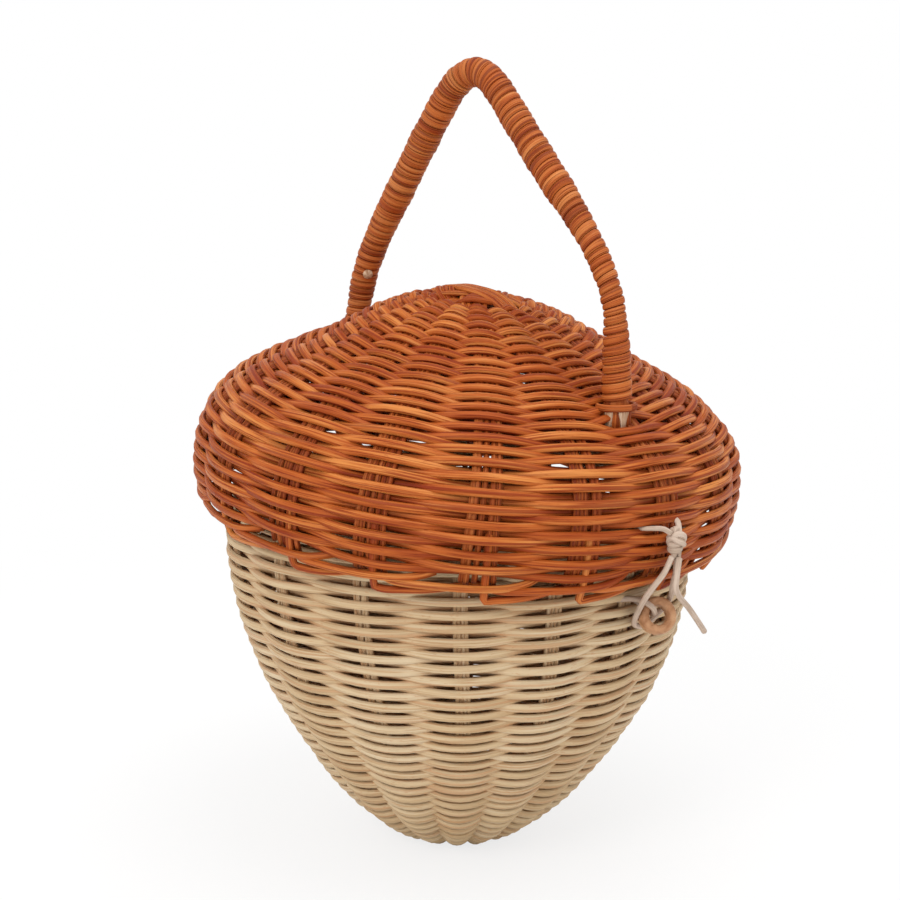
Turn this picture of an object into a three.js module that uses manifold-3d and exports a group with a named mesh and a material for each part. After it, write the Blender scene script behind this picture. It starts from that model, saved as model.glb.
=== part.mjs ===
// A mushroom-shaped rattan basket: a woven acorn body, a domed woven lid hinged at the back with
// cane ties, a bent handle wound with cane, and a cord loop that hooks over a wooden bead in front.
// Millimetres, +Z up, origin at the middle of the base, front (bead and handle foot) toward -Y.

import * as THREE from 'three';
import { mergeVertices } from 'three/addons/utils/BufferGeometryUtils.js';
import Module from 'manifold-3d';

const wasm = await Module();
wasm.setup();

// Driving dimensions

// The outside of the body and of the lid as radius and height, from the centre cross to the last row
const BODY_OUTLINE = [
  [13.5, -0.7], [20.5, 0], [28, 4.6], [40.5, 14.8], [53.9, 30], [67, 48.5],
  [78.2, 68], [85.6, 89], [89.2, 110], [86.8, 134.4],
];
const LID_OUTLINE = [
  [13.5, 84.4], [24.5, 82], [36.5, 77.8], [58.8, 66], [80.7, 54],
  [92.6, 45], [100.4, 36], [104.4, 23], [104.4, 10], [102.6, 4.4],
];

// How many stakes stand round each wall, an even number: each runs on through the centre
const BODY_STAKES = 16;
const LID_STAKES = 18;
const STAKE_WIDTH = 5.4;
const STAKE_THICK = 1.4;
const STAKE_SHARE = 0.38; // most of the way round that the stakes may fill near the centre
const CROSS_STRIP = 2.2; // width of a stake where it crosses the others
const CROSS_GAP = 0.4;
const WEAVER_TALL = 2.4;
const WEAVER_THICK = 1.8;
const ROW_PITCH = 3.2;
const FIT = 0.3; // clearance between pieces that touch
const ROW_PLAY = 0.15; // a little more between the rows and the stakes, which curve as they cross
const BORDER_REACH = 7; // from the last row to the corner where a stake turns into the border
const BORDER_RISE = 3.5; // what the border rod climbs back on its way to the next stake
const BORDER_ROD = 1.9;
const BORDER_STRAIGHT = 0.64; // share of a span that the rod runs before it turns inward
const BAND_ENDS_BODY = [0.12, 0.42, 0.71]; // where one pair of weavers is spliced to the next
const BAND_ENDS_LID = [0.2, 0.48, 0.74];
const SPLICE_GAP = 0.1; // share of a span left open at a splice

const CLOSED_TILT = THREE.MathUtils.degToRad(5); // the closed lid leans this far toward the front

const TIE_WIDTH = 3.6;
const TIE_THICK = 0.9;
const TIE_PLAY = 0.9; // room for the border rods to turn in a tie

const HANDLE_ROD = 6.2;
const TONGUE_WIDTH = 5.6;
const TONGUE_THICK = 1.6;
const TONGUE_LENGTH = 26;
// The middle of the handle rod, as distance to the front of the lid's axis and height over its rim
const HANDLE_LINE = [
  [77, 61.5], [76.2, 69], [74.6, 81], [71.6, 94], [64, 107], [51.8, 120.3], [35.3, 135.2],
  [18.7, 150.7], [7.1, 161.5], [1, 165.6], [-5.2, 166.9], [-12.2, 164.6], [-18.1, 159.5],
  [-29.4, 143.8], [-44, 121], [-56.6, 100.6], [-64.2, 84], [-68.2, 65.5],
];
const WRAP_THICK = 1.3;
const WRAP_CLEAR = 0.95;
const WRAP_LOOPS_MAIN = 22;
const WRAP_LOOPS_FOOT = 2;
const WRAP_STEPS = 8;
const WRAP_STRIP_GAP = 1.2;
const FOOT_PLAIN = 4; // bare rod between the weave and the first turn of cane
const PEG_DIAMETER = 3.8;
const PEG_PROUD = 0.8;
const PEG_FROM_END = 19.6; // along the rod from its back end
const PEG_TURN = THREE.MathUtils.degToRad(48); // from straight across the handle, toward its inside

const CORD = 2.3;
const LASH_DROP = 16.4; // from the lid's last row up to the lash, along the wall
const LASH_OPENING = 1.4; // how far the rows beside the lash are pushed apart
const LASH_LEFT = 7;
const LASH_RIGHT = 5;
const LASH_PROUD = 4.6; // how far it stands out from the middle of the wall beside the knot
const KNOT_TURNS = 3;
const KNOT_RADIUS = 2.2;
const KNOT_PITCH = 2.8;
const KNOT_CENTRE = [-1.4, -110.2, 137.6];
// The hanging loop, from under the knot round the back of the bead and up again
const LOOP_ROUTE = [
  [-3.3, -110.4, 132.8], [-6.4, -107.8, 124], [-7.4, -102.4, 117.6], [-6.2, -97.6, 112.2],
  [-3.6, -93.6, 106.6], [0.4, -92.3, 102.9], [4.8, -92.2, 101.9], [9.2, -92.8, 104.2],
  [12.9, -96.0, 109.2], [10.0, -101.6, 114.6], [5.4, -106.4, 121.2], [0.9, -110.4, 131.6],
];
// The free end of the cord, from under the knot to its cut end
const TAIL_ROUTE = [
  [-1.4, -112.5, 133.9], [-0.2, -112.8, 127], [1, -112.6, 123.2], [4.2, -110.6, 118.6],
  [10.2, -107.6, 112.4], [18.2, -104.4, 106.4], [25.2, -101.6, 101.4], [31.7, -99.4, 97.0],
];
const BEAD_DIAMETER = 13.5;
const BEAD_HOLE = 6;
const BEAD_THICK = 5.5;
const BEAD_EDGE = 1.6;
const BEAD_CENTRE = [4.6, -98.4, 107];
const BEAD_TIE = 1.6;
const TIE_OPENING = 1.1;
const TIE_HEIGHT = 113.6;

const FULL_TURN = Math.PI * 2;
const FRONT_ANGLE = -Math.PI / 2;

// Materials

function finish(colour, roughness) {
  return new THREE.MeshStandardMaterial({ color: colour, roughness, metalness: 0 });
}

const stainedRattan = () => finish(0xc0703a, 0.6);
const naturalRattan = () => finish(0xcdb187, 0.7);
const cane = () => finish(0xc98a52, 0.55);
const cotton = () => finish(0xd8cab0, 0.9);
const turnedWood = () => finish(0xb98b60, 0.55);

// Solids from rings of points

// Joins rings of the same count into one closed body, with flat ends or as a closed loop
function solidFromRings(rings, loop = false) {
  const sides = rings[0].length;
  const positions = rings.flat().flatMap((p) => [p.x, p.y, p.z]);
  const faces = [];
  const spans = loop ? rings.length : rings.length - 1;
  for (let i = 0; i < spans; i += 1) {
    const here = i * sides;
    const next = ((i + 1) % rings.length) * sides;
    for (let j = 0; j < sides; j += 1) {
      const k = (j + 1) % sides;
      faces.push([here + j, here + k, next + k], [here + j, next + k, next + j]);
    }
  }
  if (!loop) {
    const last = (rings.length - 1) * sides;
    for (let j = 1; j < sides - 1; j += 1) {
      faces.push([0, j + 1, j], [last, last + j, last + j + 1]);
    }
  }
  return facingOut(positions, faces);
}

// Turns every face over where the body was made inside out
function facingOut(positions, faces) {
  const corner = (i) => new THREE.Vector3().fromArray(positions, i * 3);
  let volume = 0;
  for (const [a, b, c] of faces) {
    volume += corner(a).dot(corner(b).cross(corner(c)));
  }
  const ordered = volume > 0 ? faces : faces.map(([a, b, c]) => [a, c, b]);
  const geometry = new THREE.BufferGeometry();
  geometry.setAttribute('position', new THREE.Float32BufferAttribute(positions, 3));
  geometry.setIndex(ordered.flat());
  geometry.computeVertexNormals();
  return geometry;
}

const FLAT_STRIP = [[1, 1], [-1, 1], [-1, -1], [1, -1]];
const BENT_STRIP = [[1, 1], [0, 1], [-1, 1], [-1, -1], [0, -1], [1, -1]];
const HALF_ROUND = [[1, -1], [-1, -1], [0, 1]];
const ROUND_ROD = circleSection(8);
const FINE_CORD = circleSection(6);

function circleSection(sides) {
  const section = [];
  for (let i = 0; i < sides; i += 1) {
    const turn = (FULL_TURN * (i + 0.5)) / sides;
    section.push([Math.cos(turn), Math.sin(turn)]);
  }
  return section;
}

// Sweeps a section along stations { at, up, wide, thick }: up is the section's own upright, wide
// and thick its half sizes. Corners are mitred so that the strip keeps its width through a turn.
function sweep(stations, section, loop = false) {
  const count = stations.length;
  const rings = stations.map(({ at, up, wide, thick }, i) => {
    const before = stations[loop ? (i + count - 1) % count : Math.max(i - 1, 0)].at;
    const after = stations[loop ? (i + 1) % count : Math.min(i + 1, count - 1)].at;
    const into = at.clone().sub(before).projectOnPlane(up).normalize();
    const out = after.clone().sub(at).projectOnPlane(up).normalize();
    const along = into.clone().add(out).normalize();
    const mitre = into.lengthSq() > 0 && out.lengthSq() > 0 ? Math.max(along.dot(out), 0.65) : 1;
    const side = new THREE.Vector3().crossVectors(up, along).normalize();
    return section.map(([x, y]) => at.clone()
      .addScaledVector(side, (x * wide) / mitre)
      .addScaledVector(up, y * thick));
  });
  return solidFromRings(rings, loop);
}

// A round cord through hand-chosen points
function cordSolid(points, diameter, steps, section, closed = false) {
  const curve = new THREE.CatmullRomCurve3(points, closed);
  const count = closed ? steps : steps + 1;
  const frames = curve.computeFrenetFrames(steps, closed);
  const rings = [];
  for (let i = 0; i < count; i += 1) {
    const at = curve.getPointAt(i / steps);
    rings.push(section.map(([x, y]) => at.clone()
      .addScaledVector(frames.normals[i], (x * diameter) / 2)
      .addScaledVector(frames.binormals[i], (y * diameter) / 2)));
  }
  return solidFromRings(rings, closed);
}

// Solids for cutting one shape from another

function toManifold(geometry) {
  const bare = geometry.clone();
  bare.deleteAttribute('normal');
  bare.deleteAttribute('uv');
  const merged = mergeVertices(bare, 1e-4);
  return new wasm.Manifold(new wasm.Mesh({
    numProp: 3,
    vertProperties: new Float32Array(merged.attributes.position.array),
    triVerts: new Uint32Array(merged.index.array),
  }));
}

function fromManifold(solid) {
  const mesh = solid.getMesh();
  const geometry = new THREE.BufferGeometry();
  geometry.setAttribute('position', new THREE.BufferAttribute(mesh.vertProperties, 3));
  geometry.setIndex(new THREE.BufferAttribute(mesh.triVerts, 1));
  geometry.computeVertexNormals();
  return geometry;
}

function cutAway(geometry, tool) {
  return fromManifold(toManifold(geometry).subtract(toManifold(tool)));
}

// The wall that a weave follows

// How far the weavers swing to each side of the wall's middle to clear the stakes
function weaveSwing(radius, normal, stakes) {
  const span = (FULL_TURN * radius) / stakes;
  const half = stakeWidth(radius, stakes) / 2 + FIT;
  const clear = STAKE_THICK / 2 + FIT + ROW_PLAY + WEAVER_THICK / 2;
  const share = half / span;
  const sag = ((half * (span - half)) / (2 * radius)) * Math.max(normal.x, 0);
  const under = clear / (1 - 2 * share);
  const over = (clear + under * share + sag) / (1 - share);
  return { under, over, share };
}

function stakeWidth(radius, stakes) {
  return Math.min(STAKE_WIDTH, (STAKE_SHARE * FULL_TURN * radius) / stakes);
}

class Wall {
  // side is +1 where the outline climbs from the cross (body) and -1 where it falls (lid)
  constructor(outline, stakes, side, opening) {
    this.stakes = 2 * Math.round(stakes / 2);
    this.side = side;
    this.opening = opening;
    const curve = new THREE.SplineCurve(outline.map(([r, z]) => new THREE.Vector2(r, z)));
    const last = outline.length - 1;
    const [rimRadius] = outline[last];
    const { over } = weaveSwing(rimRadius, new THREE.Vector2(1, 0), stakes);
    const depth = over + WEAVER_THICK / 2;
    this.stations = outline.map(([r, z], i) => {
      const tangent = curve.getTangent(i / last);
      const normal = new THREE.Vector2(side * tangent.y, -side * tangent.x);
      return { r: r - normal.x * depth, z: z - normal.y * depth, normal, s: 0 };
    });
    this.stations.forEach((station, i) => {
      const before = this.stations[Math.max(i - 1, 0)];
      station.s = before.s + Math.hypot(station.r - before.r, station.z - before.z);
    });
    this.end = this.stations[last].s;
    this.raised = []; // stakes that carry a tongue: { stake, from, to, lift }
  }

  // The middle of the wall a distance s out from the cross
  at(s) {
    const { stations } = this;
    const beyond = Math.max(s - this.end, 0);
    const inside = Math.min(Math.max(s, 0), this.end);
    let i = 1;
    while (i < stations.length - 1 && stations[i].s < inside) {
      i += 1;
    }
    const [a, b] = [stations[i - 1], stations[i]];
    const share = (inside - a.s) / (b.s - a.s);
    return {
      r: THREE.MathUtils.lerp(a.r, b.r, share),
      z: THREE.MathUtils.lerp(a.z, b.z, share) + beyond * this.side,
      normal: a.normal.clone().lerp(b.normal, share).normalize(),
    };
  }

  angle(stake) {
    return FRONT_ANGLE + (FULL_TURN * stake) / this.stakes;
  }

  // A point at an angle round the axis, s out from the cross and off the wall's middle
  point(angle, s, off = 0) {
    const { r, z, normal } = this.at(s);
    const reach = r + normal.x * off;
    return new THREE.Vector3(Math.cos(angle) * reach, Math.sin(angle) * reach, z + normal.y * off);
  }

  normal(angle, s) {
    const { normal } = this.at(s);
    return new THREE.Vector3(Math.cos(angle) * normal.x, Math.sin(angle) * normal.x, normal.y);
  }

  // Where row number n of both weavers together crosses a stake, before any opening
  rowAt(stake, n) {
    return ROW_PITCH * n + (2 * ROW_PITCH * stake) / this.stakes;
  }

  // The middle of the space between two rows at the front stake, nearest to s
  spaceNear(s) {
    return (Math.round(s / ROW_PITCH - 0.5) + 0.5) * ROW_PITCH;
  }

  // Rows at the front stake part to let a cord through
  spread(stake, s) {
    if (stake !== 0 || !this.opening) {
      return s;
    }
    const away = s - this.spaceNear(this.opening.s);
    return s + this.opening.by * Math.sign(away) * Math.exp(-Math.abs(away) / 14);
  }

  lift(stake, s) {
    const seat = this.raised.find((r) => r.stake === stake && s > r.from && s < r.to);
    return seat ? seat.lift : 0;
  }

  // The row beside a raised stake goes in deeper, so that it still clears its own stake's edge
  deepen(stake, s, share) {
    const lifts = [-1, 1].map((step) => this.lift((stake + step + this.stakes) % this.stakes, s));
    return (Math.max(...lifts) * share) / (1 - share);
  }
}

// One weaver of a pair: a spiral that passes over one stake and under the next
function weaver(wall, strand, from, to) {
  const { stakes } = wall;
  const place = (index) => {
    const stake = ((index % stakes) + stakes) % stakes;
    const s = wall.spread(stake, (2 * ROW_PITCH * index) / stakes + strand * ROW_PITCH);
    const { r, normal } = wall.at(s);
    const swing = weaveSwing(r, normal, stakes);
    const over = (stake + strand) % 2 === 0;
    const deeper = wall.deepen(stake, s, swing.share);
    const off = over ? swing.over + wall.lift(stake, s) : -swing.under - deeper;
    const angle = wall.angle(index);
    return { at: wall.point(angle, s, off), up: wall.normal(angle, s) };
  };
  const between = (index) => {
    const a = place(Math.floor(index));
    const b = place(Math.floor(index) + 1);
    const share = index - Math.floor(index);
    return { at: a.at.lerp(b.at, share), up: a.up.lerp(b.up, share).normalize() };
  };
  const stations = [between(from - 0.5 + SPLICE_GAP / 2)];
  for (let index = from; index < to; index += 1) {
    stations.push(place(index));
  }
  stations.push(between(to - 0.5 - SPLICE_GAP / 2));
  return sweep(
    stations.map(({ at, up }) => ({ at, up, wide: WEAVER_TALL / 2, thick: WEAVER_THICK / 2 })),
    HALF_ROUND,
  );
}

// All weavers of a wall, a pair for each band between splices
function weavers(wall, bandEnds, prefix, material) {
  const turns = (wall.end - ROW_PITCH) / (2 * ROW_PITCH);
  const ends = [0, ...bandEnds, 1].map((share) => Math.round(share * turns * wall.stakes));
  const names = ['centre', 'inner', 'middle', 'rim'];
  const meshes = [];
  names.forEach((name, band) => {
    for (const strand of [0, 1]) {
      const geometry = weaver(wall, strand, ends[band] + (band ? 0 : 1), ends[band + 1]);
      meshes.push(named(`${prefix}_weaver_${name}_${'ab'[strand]}`, geometry, material()));
    }
  });
  return meshes;
}

// A stake runs from border to border through the centre cross, and each end becomes a border rod
function stake(wall, first, group) {
  const opposite = first + wall.stakes / 2 + group.size - 1 - 2 * group.place;
  const width = (s) => stakeWidth(wall.at(s).r, wall.stakes) / 2;
  const arm = (index) => wallStations(wall, index, width).concat(borderStations(wall, index));
  const lane = (group.place - (group.size - 1) / 2) * (CROSS_STRIP + CROSS_GAP);
  const aim = wall.angle(group.middle);
  const level = wall.at(0).z + group.layer * (STAKE_THICK / 2 + CROSS_GAP / 2);
  const along = new THREE.Vector3(Math.cos(aim), Math.sin(aim), 0);
  const across = new THREE.Vector3(-along.y, along.x, 0);
  const upright = new THREE.Vector3(0, 0, -wall.side);
  const crossing = [-1, 1].map((end) => ({
    at: along.clone().multiplyScalar(end * group.reach)
      .addScaledVector(across, lane)
      .setZ(level),
    up: upright,
    wide: CROSS_STRIP / 2,
    thick: STAKE_THICK / 2,
  }));
  const stations = [...arm(opposite).reverse(), ...crossing, ...arm(first)];
  return sweep(stations, FLAT_STRIP);
}

function wallStations(wall, index, width) {
  const angle = wall.angle(index);
  return wall.stations.map(({ s }) => ({
    at: wall.point(angle, s),
    up: wall.normal(angle, s),
    wide: width(s),
    thick: STAKE_THICK / 2,
  }));
}

// Past the last row the stake narrows to a rod, turns a corner and runs on behind the next stake
function borderStations(wall, index) {
  const rod = BORDER_ROD / 2;
  const inside = -(STAKE_THICK / 2 + FIT + BORDER_ROD);
  const steps = [
    { turn: 0, drop: BORDER_REACH, off: 0 },
    { turn: BORDER_STRAIGHT, drop: BORDER_REACH - BORDER_RISE * BORDER_STRAIGHT, off: 0 },
    { turn: 0.88, drop: BORDER_REACH - BORDER_RISE, off: inside },
    { turn: 1.14, drop: BORDER_REACH - BORDER_RISE, off: inside },
  ];
  return steps.map(({ turn, drop, off }) => {
    const angle = wall.angle(index + turn);
    return {
      at: wall.point(angle, wall.end + drop, off),
      up: wall.normal(angle, wall.end),
      wide: rod,
      thick: rod,
    };
  });
}

// The stakes lie in two groups that cross at right angles, one group over the other
function stakes(wall, prefix, material) {
  const half = wall.stakes / 2;
  const upper = Math.ceil(half / 2);
  const lower = half - upper;
  const start = -Math.floor((upper - 1) / 2);
  const strip = CROSS_STRIP + CROSS_GAP;
  const meshes = [];
  for (let i = 0; i < half; i += 1) {
    const over = i < upper;
    const size = over ? upper : lower;
    const group = {
      size,
      place: over ? i : i - upper,
      middle: over ? start + (upper - 1) / 2 : start + upper + (lower - 1) / 2,
      layer: over ? 1 : -1,
      reach: ((over ? lower : upper) * strip) / 2 + CROSS_GAP,
    };
    meshes.push(named(`${prefix}_stake_${i + 1}`, stake(wall, start + i, group), material()));
  }
  return meshes;
}

function named(name, geometry, material) {
  const mesh = new THREE.Mesh(geometry, material);
  mesh.name = name;
  return mesh;
}

// The body

const bodyWall = new Wall(BODY_OUTLINE, BODY_STAKES, 1, null);

// Distance out from the cross at which the wall's middle passes a height
function outAtHeight(wall, z) {
  const { stations } = wall;
  for (let i = 1; i < stations.length; i += 1) {
    const [a, b] = [stations[i - 1], stations[i]];
    if ((a.z - z) * (b.z - z) <= 0) {
      return THREE.MathUtils.mapLinear(z, a.z, b.z, a.s, b.s);
    }
  }
  return wall.end;
}

bodyWall.opening = { s: outAtHeight(bodyWall, TIE_HEIGHT), by: TIE_OPENING };

// The base is worn flat where the basket stands: the rows near the cross reach a little below z = 0
function flattened(mesh) {
  mesh.geometry.computeBoundingBox();
  const { min, max } = mesh.geometry.boundingBox;
  const worn = mesh;
  if (min.z < 0) {
    const below = new THREE.BoxGeometry(2 * (max.x - min.x), 2 * (max.y - min.y), 2 * -min.z);
    below.translate(0, 0, min.z);
    worn.geometry = cutAway(mesh.geometry, below);
  }
  return worn;
}

function buildBody() {
  const rows = weavers(bodyWall, BAND_ENDS_BODY, 'body', naturalRattan);
  return [
    ...rows.map((mesh) => (mesh.name.includes('centre') ? flattened(mesh) : mesh)),
    ...stakes(bodyWall, 'body', naturalRattan),
  ];
}

// The lid

const lidWall = new Wall(LID_OUTLINE, LID_STAKES, -1, null);
lidWall.opening = { s: lidWall.end - LASH_DROP, by: LASH_OPENING };

// The handle's line lies in the plane of the front and back stakes
function handlePoint([toFront, height]) {
  return new THREE.Vector3(0, -toFront, height);
}

// A tongue goes in between two rows that pass over its stake, and lies under the rows that follow
function tongueSeat(stakeIndex, distance) {
  let row = stakeIndex % 2 === 0 ? 0 : 1;
  while (lidWall.at(lidWall.rowAt(stakeIndex, row)).r < distance) {
    row += 2;
  }
  const entry = lidWall.rowAt(stakeIndex, row) + ROW_PITCH;
  const lift = TONGUE_THICK + FIT;
  return { stake: stakeIndex, from: entry, to: entry + TONGUE_LENGTH, lift };
}

const FRONT_STAKE = 0;
const BACK_STAKE = lidWall.stakes / 2;
const [[frontReach]] = HANDLE_LINE;
const [backReach] = HANDLE_LINE[HANDLE_LINE.length - 1];
const frontSeat = tongueSeat(FRONT_STAKE, frontReach);
const backSeat = tongueSeat(BACK_STAKE, Math.abs(backReach));
lidWall.raised = [frontSeat, backSeat];

function tongueStations(seat) {
  const angle = lidWall.angle(seat.stake);
  const flat = STAKE_THICK / 2 + FIT + TONGUE_THICK / 2;
  const lying = seat.from + 1.8;
  const places = lidWall.stations.map(({ s }) => s).filter((s) => s > lying + 1 && s < seat.to - 1);
  const steps = [
    { s: seat.from - 2.4, off: flat + 3.4 },
    ...[lying, ...places, seat.to - FIT].map((s) => ({ s, off: flat })),
  ];
  return steps.map(({ s, off }) => ({
    at: lidWall.point(angle, s, off),
    up: lidWall.normal(angle, s),
    wide: TONGUE_WIDTH / 2,
    thick: TONGUE_THICK / 2,
  }));
}

const handleCurve = new THREE.CatmullRomCurve3(HANDLE_LINE.map(handlePoint), false, 'centripetal');
const HANDLE_STEPS = 2 * (HANDLE_LINE.length - 1);
const ACROSS = new THREE.Vector3(1, 0, 0);
const UPRIGHT = new THREE.Vector3(0, 1, 0); // the axis that a new cylinder stands along

function handleOutward(share) {
  return new THREE.Vector3().crossVectors(ACROSS, handleCurve.getTangentAt(share)).normalize();
}

// The rod is round along the arch and pared down at each end to a tongue
function handleCore() {
  const round = [];
  for (let i = 0; i <= HANDLE_STEPS; i += 1) {
    const place = i / HANDLE_STEPS;
    round.push({
      at: handleCurve.getPoint(place),
      up: new THREE.Vector3().crossVectors(ACROSS, handleCurve.getTangent(place)).normalize(),
      wide: HANDLE_ROD / 2,
      thick: HANDLE_ROD / 2,
    });
  }
  const front = tongueStations(frontSeat).reverse();
  const back = tongueStations(backSeat);
  const rod = sweep([...front, ...round, ...back], ROUND_ROD);
  return cutAway(rod, pegBar(PEG_DIAMETER / 2 + FIT, 2 * HANDLE_ROD));
}

function pegShare() {
  return 1 - PEG_FROM_END / handleCurve.getLength();
}

// A round bar through the rod where the peg goes
function pegBar(radius, length) {
  const share = pegShare();
  const axis = ACROSS.clone().multiplyScalar(Math.cos(PEG_TURN));
  axis.addScaledVector(handleOutward(share), Math.sin(PEG_TURN));
  const geometry = new THREE.CylinderGeometry(radius, radius, length, 12);
  geometry.applyQuaternion(new THREE.Quaternion().setFromUnitVectors(UPRIGHT, axis));
  geometry.translate(...handleCurve.getPointAt(share).toArray());
  return geometry;
}

function peg() {
  return pegBar(PEG_DIAMETER / 2, HANDLE_ROD + 2 * (WRAP_CLEAR + WRAP_THICK + PEG_PROUD));
}

// A strip of cane wound round the rod between two places along it, its own width at each end kept
function winding(from, to, loops) {
  const length = handleCurve.getLength();
  const turnShare = (to - from) / (loops + 1);
  const halfShare = (turnShare - WRAP_STRIP_GAP / length) / 2;
  const radius = HANDLE_ROD / 2 + WRAP_CLEAR + WRAP_THICK / 2;
  const rings = [];
  for (let i = 0; i <= loops * WRAP_STEPS; i += 1) {
    const share = from + turnShare * (0.5 + i / WRAP_STEPS);
    const turn = (FULL_TURN * i) / WRAP_STEPS;
    rings.push(BENT_STRIP.map(([x, y]) => {
      const edge = share + x * halfShare;
      return handleCurve.getPointAt(edge)
        .addScaledVector(handleOutward(edge), Math.cos(turn) * (radius + (y * WRAP_THICK) / 2))
        .addScaledVector(ACROSS, Math.sin(turn) * (radius + (y * WRAP_THICK) / 2));
    }));
  }
  return { geometry: solidFromRings(rings), gap: leastGap(rings) };
}

// The least gap between the edge of one turn and the facing edge of the next, inside and outside
function leastGap(rings) {
  const [outerNear, outerFar, innerFar, innerNear] = [0, 2, 3, 5];
  let least = Infinity;
  for (let i = 0; i + WRAP_STEPS < rings.length; i += 1) {
    const [here, next] = [rings[i], rings[i + WRAP_STEPS]];
    least = Math.min(
      least,
      here[outerNear].distanceTo(next[outerFar]),
      here[innerNear].distanceTo(next[innerFar]),
    );
  }
  return least;
}

function buildHandle() {
  const length = handleCurve.getLength();
  const pegRoom = (PEG_DIAMETER / 2 + 2 * FIT) / length;
  const plain = FOOT_PLAIN / length;
  const main = winding(plain, pegShare() - pegRoom, WRAP_LOOPS_MAIN);
  const foot = winding(pegShare() + pegRoom, 1 - plain, WRAP_LOOPS_FOOT);
  console.log(`least gap between turns: main ${main.gap.toFixed(2)}, foot ${foot.gap.toFixed(2)} mm`);
  return [
    named('handle_core', handleCore(), cane()),
    named('handle_wrap_main', main.geometry, cane()),
    named('handle_wrap_foot', foot.geometry, cane()),
    named('handle_peg', peg(), turnedWood()),
  ];
}

// The hinge: cane ties round the border rods of the body and the lid, half way between two stakes

// The middle of the border rod between the back stake and the next
function borderMiddle(wall) {
  const corner = wall.point(wall.angle(wall.stakes / 2), wall.end + BORDER_REACH);
  const far = wall.point(
    wall.angle(wall.stakes / 2 + BORDER_STRAIGHT),
    wall.end + BORDER_REACH - BORDER_RISE * BORDER_STRAIGHT,
  );
  return corner.lerp(far, 0.5 / BORDER_STRAIGHT);
}

const bodyRod = borderMiddle(bodyWall);
const lidRod = borderMiddle(lidWall);
const hingeLine = new THREE.Vector3(0, lidRod.y, bodyRod.z);

function hingeTie(side) {
  const near = bodyRod.y;
  const far = hingeLine.y;
  const round = BORDER_ROD * 0.71 + TIE_PLAY + TIE_THICK / 2;
  const x = (side * (Math.abs(bodyRod.x) + Math.abs(lidRod.x))) / 2;
  const stations = [];
  const steps = 6;
  for (const [centre, from] of [[far, -Math.PI / 2], [near, Math.PI / 2]]) {
    for (let i = 0; i <= steps; i += 1) {
      const turn = from + (Math.PI * i) / steps;
      const up = new THREE.Vector3(0, Math.cos(turn), Math.sin(turn));
      const at = new THREE.Vector3(x, centre, hingeLine.z).addScaledVector(up, round);
      stations.push({ at, up, wide: TIE_WIDTH / 2, thick: TIE_THICK / 2 });
    }
  }
  return sweep(stations, FLAT_STRIP, true);
}

// The clasp

// A turned bead with rounded edges, its hole facing the front
function bead() {
  const [outer, inner, half] = [BEAD_DIAMETER / 2, BEAD_HOLE / 2, BEAD_THICK / 2];
  const profile = [
    [inner, -half + BEAD_EDGE / 2], [inner + BEAD_EDGE / 2, -half], [outer - BEAD_EDGE, -half],
    [outer, -half + BEAD_EDGE], [outer, half - BEAD_EDGE], [outer - BEAD_EDGE, half],
    [inner + BEAD_EDGE / 2, half], [inner, half - BEAD_EDGE / 2],
  ];
  const points = [...profile, profile[0]].map(([r, z]) => new THREE.Vector2(r, z));
  const geometry = new THREE.LatheGeometry(points, 16);
  geometry.translate(...BEAD_CENTRE);
  return geometry;
}

// A thin tie holds the bead: round the front stake of the body and round the bead's rim
function beadTie() {
  const centre = new THREE.Vector3(...BEAD_CENTRE);
  const s = bodyWall.spaceNear(outAtHeight(bodyWall, TIE_HEIGHT));
  const front = bodyWall.angle(0);
  const local = (across, off, along = 0) => bodyWall.point(front, s + along, off)
    .add(new THREE.Vector3(across, 0, 0));
  const slack = BEAD_TIE / 2 + FIT;
  const beside = stakeWidth(bodyWall.at(s).r, bodyWall.stakes) / 2 + slack + 0.8;
  const behind = -(STAKE_THICK / 2 + slack + 0.4);
  const rim = (BEAD_DIAMETER - BEAD_HOLE) / 4;
  const toRim = (BEAD_DIAMETER + BEAD_HOLE) / 4;
  const outward = new THREE.Vector3(-1, 0, 1).normalize();
  const onRim = (reach, forward) => centre.clone()
    .addScaledVector(outward, toRim + reach)
    .add(new THREE.Vector3(0, -forward, 0));
  const face = BEAD_THICK / 2 + slack;
  const points = [
    local(beside / 2, behind), local(-beside / 2, behind), local(-beside, 0), local(-beside + 0.6, 4.4),
    onRim(rim + slack + 0.6, -1.6), onRim(rim + slack + 0.3, 1.4),
    onRim(1.1, face + 0.3), onRim(-1.1, face + 0.3),
    onRim(-rim - slack - 0.3, 1.4), onRim(-rim - slack - 0.4, -2.0), onRim(-1.0, -face - 0.6),
    local(beside - 0.4, 4.4), local(beside, 0),
  ];
  return cordSolid(points, BEAD_TIE, 30, FINE_CORD, true);
}

// The knot: turns of cord, one unbroken coil, standing outside the lid's front stake
function knot() {
  const points = [];
  const steps = KNOT_TURNS * 12;
  for (let i = 0; i <= steps; i += 1) {
    const turn = (FULL_TURN * i) / 12;
    points.push(new THREE.Vector3(
      Math.cos(turn) * KNOT_RADIUS,
      Math.sin(turn) * KNOT_RADIUS,
      KNOT_PITCH * (i / 12 - KNOT_TURNS / 2),
    ));
  }
  const geometry = cordSolid(points, CORD, KNOT_TURNS * 9, FINE_CORD);
  geometry.translate(...KNOT_CENTRE);
  console.log(`least gap between turns of the knot: ${(KNOT_PITCH - CORD).toFixed(2)} mm`);
  return geometry;
}

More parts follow.
